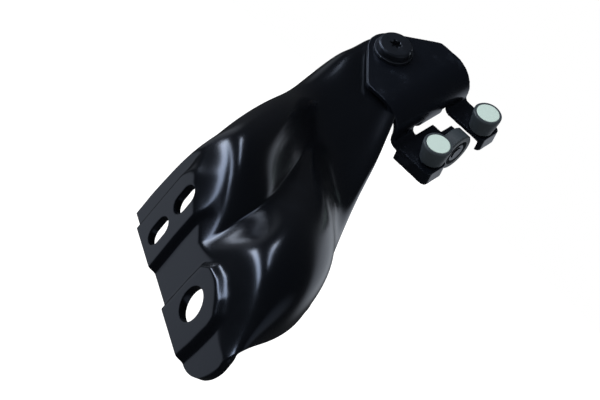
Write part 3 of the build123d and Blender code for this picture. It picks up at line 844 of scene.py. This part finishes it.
@dataclass
class LoadRoller(SubAssembly):
    """The roller that carries the door's weight."""

    body: str = "load_roller"
    paints: dict[str, Paint] = field(default_factory=lambda: {
        "load_tyre": Paint.BLACK_POLYAMIDE, "load_hub": Paint.GREY_POLYAMIDE,
        "load_bush": Paint.SINTERED_BRONZE})

    def build(self) -> None:
        """Dresses the roller."""
        self.dress()


@dataclass
class View:
    """The photograph's camera. Its place was fitted to the slots, the hole, the flange and the rollers."""

    place: Vector = field(default_factory=lambda: mm(456.341, -296.536, 238.553))
    right: Vector = field(default_factory=lambda: Vector((0.283697, 0.730637, 0.621036)))
    up: Vector = field(default_factory=lambda: Vector((-0.597500, -0.371860, 0.710432)))
    lens_mm: float = 75.0
    sensor_mm: float = 36.0

    @property
    def back(self) -> Vector:
        """The direction from the object to the camera."""
        return self.right.cross(self.up).normalized()

    def build(self) -> bpy.types.Object:
        """Makes the camera and sets it as the scene's.

        Returns:
            The camera object.
        """
        data = bpy.data.cameras.new("photo_camera")
        data.lens = self.lens_mm
        data.sensor_width = self.sensor_mm
        data.clip_start = 0.01
        camera = bpy.data.objects.new("photo_camera", data)
        camera.matrix_world = Matrix((self.right, self.up, self.back)).transposed().to_4x4()
        camera.location = self.place
        bpy.context.scene.collection.objects.link(camera)
        bpy.context.scene.camera = camera
        return camera

    def direction(self, right: float, up: float, back: float) -> Vector:
        """A direction in the row frame from its parts along the photograph's axes."""
        return (self.right * right + self.up * up + self.back * back).normalized()


@dataclass(frozen=True)
class SoftBox:
    """A strip lamp over the object: where it hangs as the camera sees it, its size and its strength.

    The strip runs to and from the camera.
    """

    name: str
    side: tuple[float, float, float]
    distance: float
    width: float
    length: float
    watts: float
    colour: str = "#ffffff"


@dataclass(frozen=True)
class Glow:
    """A patch of the tent that is lighter than the rest: where it is as the camera sees it, and its strength.

    It starts where the cosine of the angle to its middle is edge, and is full where that is full.
    """

    side: tuple[float, float, float]
    edge: float
    full: float
    strength: float


@dataclass
class Studio:
    """Pale floor, white surround, two strip lamps and a shaded tent that the coat mirrors.

    Sizes are in metres. surround_light is how strongly the surround lights, and surround_seen how strongly
    it shows.
    """

    view: View
    centre: Vector = field(default_factory=lambda: mm(-45, 80, 35))
    surround_light: float = 0.55
    surround_seen: float = 1.0
    floor_z: float = -0.95
    floor_radius: float = 4.0
    floor_grey: float = 0.5
    tent_radius: float = 0.9
    tent_dark: float = 0.03
    tent_colour: str = "#e6edf7"
    boxes: tuple[SoftBox, ...] = (
        SoftBox("strip_wide", (-0.50, 0.84, 0.20), 0.8, 0.14, 0.75, 3.6, "#eef5ff"),
        SoftBox("strip_narrow", (0.07, 0.99, 0.12), 0.8, 0.08, 0.60, 1.4, "#eef5ff"),
    )
    glows: tuple[Glow, ...] = (
        Glow((-0.92, 0.24, -0.32), 0.93, 0.99, 0.60),
        Glow((0.60, -0.08, -0.80), 0.87, 0.98, 0.75),
        Glow((-0.38, 0.66, -0.65), 0.93, 0.99, 0.30),
        Glow((0.75, -0.50, 0.40), 0.80, 1.0, 0.40),
    )

    def build(self) -> None:
        """Makes the surround, the floor, the lamps and the tent."""
        self.surround()
        self.floor()
        for box in self.boxes:
            self.lamp(box)
        self.tent()

    def seen(self, tree: bpy.types.NodeTree) -> bpy.types.NodeSocket:
        """The share of rays that show the background: camera, glossy and transmission rays.

        Args:
            tree: the node tree that gets the nodes.

        Returns:
            A socket that is 1 for those rays and 0 for the rest.
        """
        path = add_node(tree, "ShaderNodeLightPath")
        first = add_node(tree, "ShaderNodeMath", {"operation": "MAXIMUM"})
        tree.links.new(path.outputs["Is Camera Ray"], first.inputs[0])
        tree.links.new(path.outputs["Is Glossy Ray"], first.inputs[1])
        second = add_node(tree, "ShaderNodeMath", {"operation": "MAXIMUM"})
        tree.links.new(first.outputs[0], second.inputs[0])
        tree.links.new(path.outputs["Is Transmission Ray"], second.inputs[1])
        return second.outputs[0]

    def surround(self) -> None:
        """Makes the world: white where it is seen, softer where it only lights."""
        world = bpy.data.worlds.new("white_surround")
        bpy.context.scene.world = world
        world.use_nodes = True
        tree = world.node_tree
        tree.nodes.clear()
        strength = add_node(tree, "ShaderNodeMapRange",
                            {"To Min": self.surround_light, "To Max": self.surround_seen},
                            {"Value": self.seen(tree)})
        sky = add_node(tree, "ShaderNodeBackground", {"Color": (1, 1, 1, 1)},
                       {"Strength": strength.outputs["Result"]})
        add_node(tree, "ShaderNodeOutputWorld", links={"Surface": sky.outputs["Background"]})

    def floor(self) -> None:
        """Lays the pale floor well below the object, which hangs clear of it as in the photograph."""
        bpy.ops.mesh.primitive_circle_add(vertices=96, radius=self.floor_radius, fill_type="NGON",
                                          location=(self.centre.x, self.centre.y, self.floor_z))
        floor = bpy.context.object
        floor.name = "floor"
        tree = self.stage_material(floor, "pale_floor")
        grey = self.floor_grey
        paint = add_node(tree, "ShaderNodeBsdfDiffuse", {"Color": (grey, grey, grey, 1)})
        shine = add_node(tree, "ShaderNodeEmission", {"Color": (1, 1, 1, 1)}, {"Strength": self.seen(tree)})
        mixed = add_node(tree, "ShaderNodeAddShader")
        tree.links.new(paint.outputs[0], mixed.inputs[0])
        tree.links.new(shine.outputs[0], mixed.inputs[1])
        add_node(tree, "ShaderNodeOutputMaterial", links={"Surface": mixed.outputs[0]})

    def stage_material(self, obj: bpy.types.Object, name: str) -> bpy.types.NodeTree:
        """Gives a stage object an empty node material and marks it as stage.

        Args:
            obj: the floor or the tent.
            name: the material's name.

        Returns:
            The material's tree.
        """
        material = bpy.data.materials.new(name)
        material.use_nodes = True
        material.node_tree.nodes.clear()
        obj.data.materials.append(material)
        return material.node_tree

    def lamp(self, box: SoftBox) -> None:
        """Hangs one strip lamp and turns it to the object.

        Args:
            box: the lamp's place, size and strength.
        """
        data = bpy.data.lights.new(box.name, "AREA")
        data.shape = "RECTANGLE"
        data.size, data.size_y = box.width, box.length
        data.energy = box.watts
        data.color = linear(box.colour)[:3]
        lamp = bpy.data.objects.new(box.name, data)
        away = self.view.direction(*box.side)
        side = self.view.back.cross(away).normalized()
        lamp.matrix_world = Matrix((side, away.cross(side), away)).transposed().to_4x4()
        lamp.location = self.centre + away * box.distance
        bpy.context.scene.collection.objects.link(lamp)

    def tent(self) -> None:
        """Closes a dark tent round the object, paler at its open sides. Only mirrored rays meet it."""
        bpy.ops.mesh.primitive_uv_sphere_add(segments=64, ring_count=32, radius=1.0)
        tent = bpy.context.object
        tent.name = "tent"
        tent.matrix_world = Matrix.LocRotScale(
            self.centre, Matrix((self.view.right, self.view.up, self.view.back)).transposed().to_quaternion(),
            Vector.Fill(3, self.tent_radius))
        tree = self.stage_material(tent, "tent_cloth")
        place = add_node(tree, "ShaderNodeTexCoord").outputs["Object"]
        level = None
        for glow in self.glows:
            facing = add_node(tree, "ShaderNodeVectorMath", {"operation": "DOT_PRODUCT"})
            tree.links.new(place, facing.inputs[0])
            facing.inputs[1].default_value = Vector(glow.side).normalized()
            share = add_node(tree, "ShaderNodeMapRange", {
                "interpolation_type": "SMOOTHSTEP", "From Min": glow.edge, "From Max": glow.full,
                "To Min": self.tent_dark, "To Max": glow.strength}, {"Value": facing.outputs["Value"]})
            if level is None:
                level = share.outputs["Result"]
                continue
            brighter = add_node(tree, "ShaderNodeMath", {"operation": "MAXIMUM"})
            tree.links.new(level, brighter.inputs[0])
            tree.links.new(share.outputs["Result"], brighter.inputs[1])
            level = brighter.outputs[0]
        cloth = add_node(tree, "ShaderNodeEmission", {"Color": linear(self.tent_colour)}, {"Strength": level})
        add_node(tree, "ShaderNodeOutputMaterial", links={"Surface": cloth.outputs[0]})
        tent.visible_camera = False
        tent.visible_diffuse = False
        tent.visible_shadow = False
        tent.visible_transmission = False


def main() -> None:
    """Builds the camera, the studio and every sub-assembly."""
    logging.basicConfig(level=logging.INFO, format="%(message)s")
    bpy.context.scene.view_settings.view_transform = "Standard"
    view = View()
    view.build()
    Studio(view).build()
    Arm().build()
    Carriage().build()
    GuideRoller(body="guide_roller_near", side="near").build()
    GuideRoller(body="guide_roller_far", side="far").build()
    LoadRoller().build()


if __name__ == "__main__":
    main()
